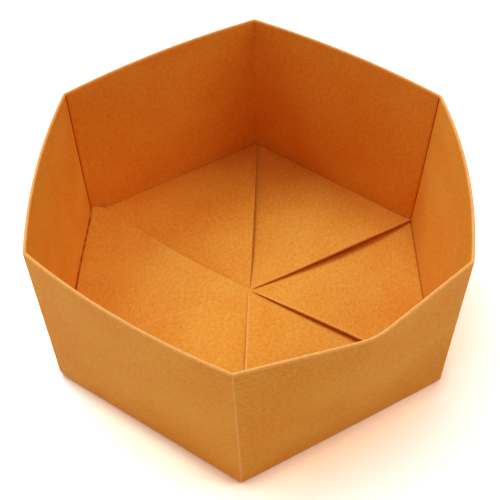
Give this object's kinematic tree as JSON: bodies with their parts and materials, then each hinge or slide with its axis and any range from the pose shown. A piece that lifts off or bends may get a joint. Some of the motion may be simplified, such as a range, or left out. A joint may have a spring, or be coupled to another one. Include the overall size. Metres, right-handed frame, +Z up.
{
  "type": "folded paper box",
  "caption": "Open hexagonal box folded from kraft paper, with doubled bowed walls, a folded rim and a floor of overlapping twisted flaps.",
  "frame": {"origin": "middle of the base, on the surface the box stands on", "axes": "+Z up out of the open top; one corner points along -Y, towards the viewer of the picture, and +X is to that viewer's right"},
  "size_m": [0.1086, 0.1229, 0.051],
  "materials": {
    "kraft_paper": "uncoated orange-brown kraft paper with a fine fibre mottle, paler along its folds"
  },
  "bodies": {
    "root": {"folded_box": "kraft_paper"}
  },
  "joints": []
}
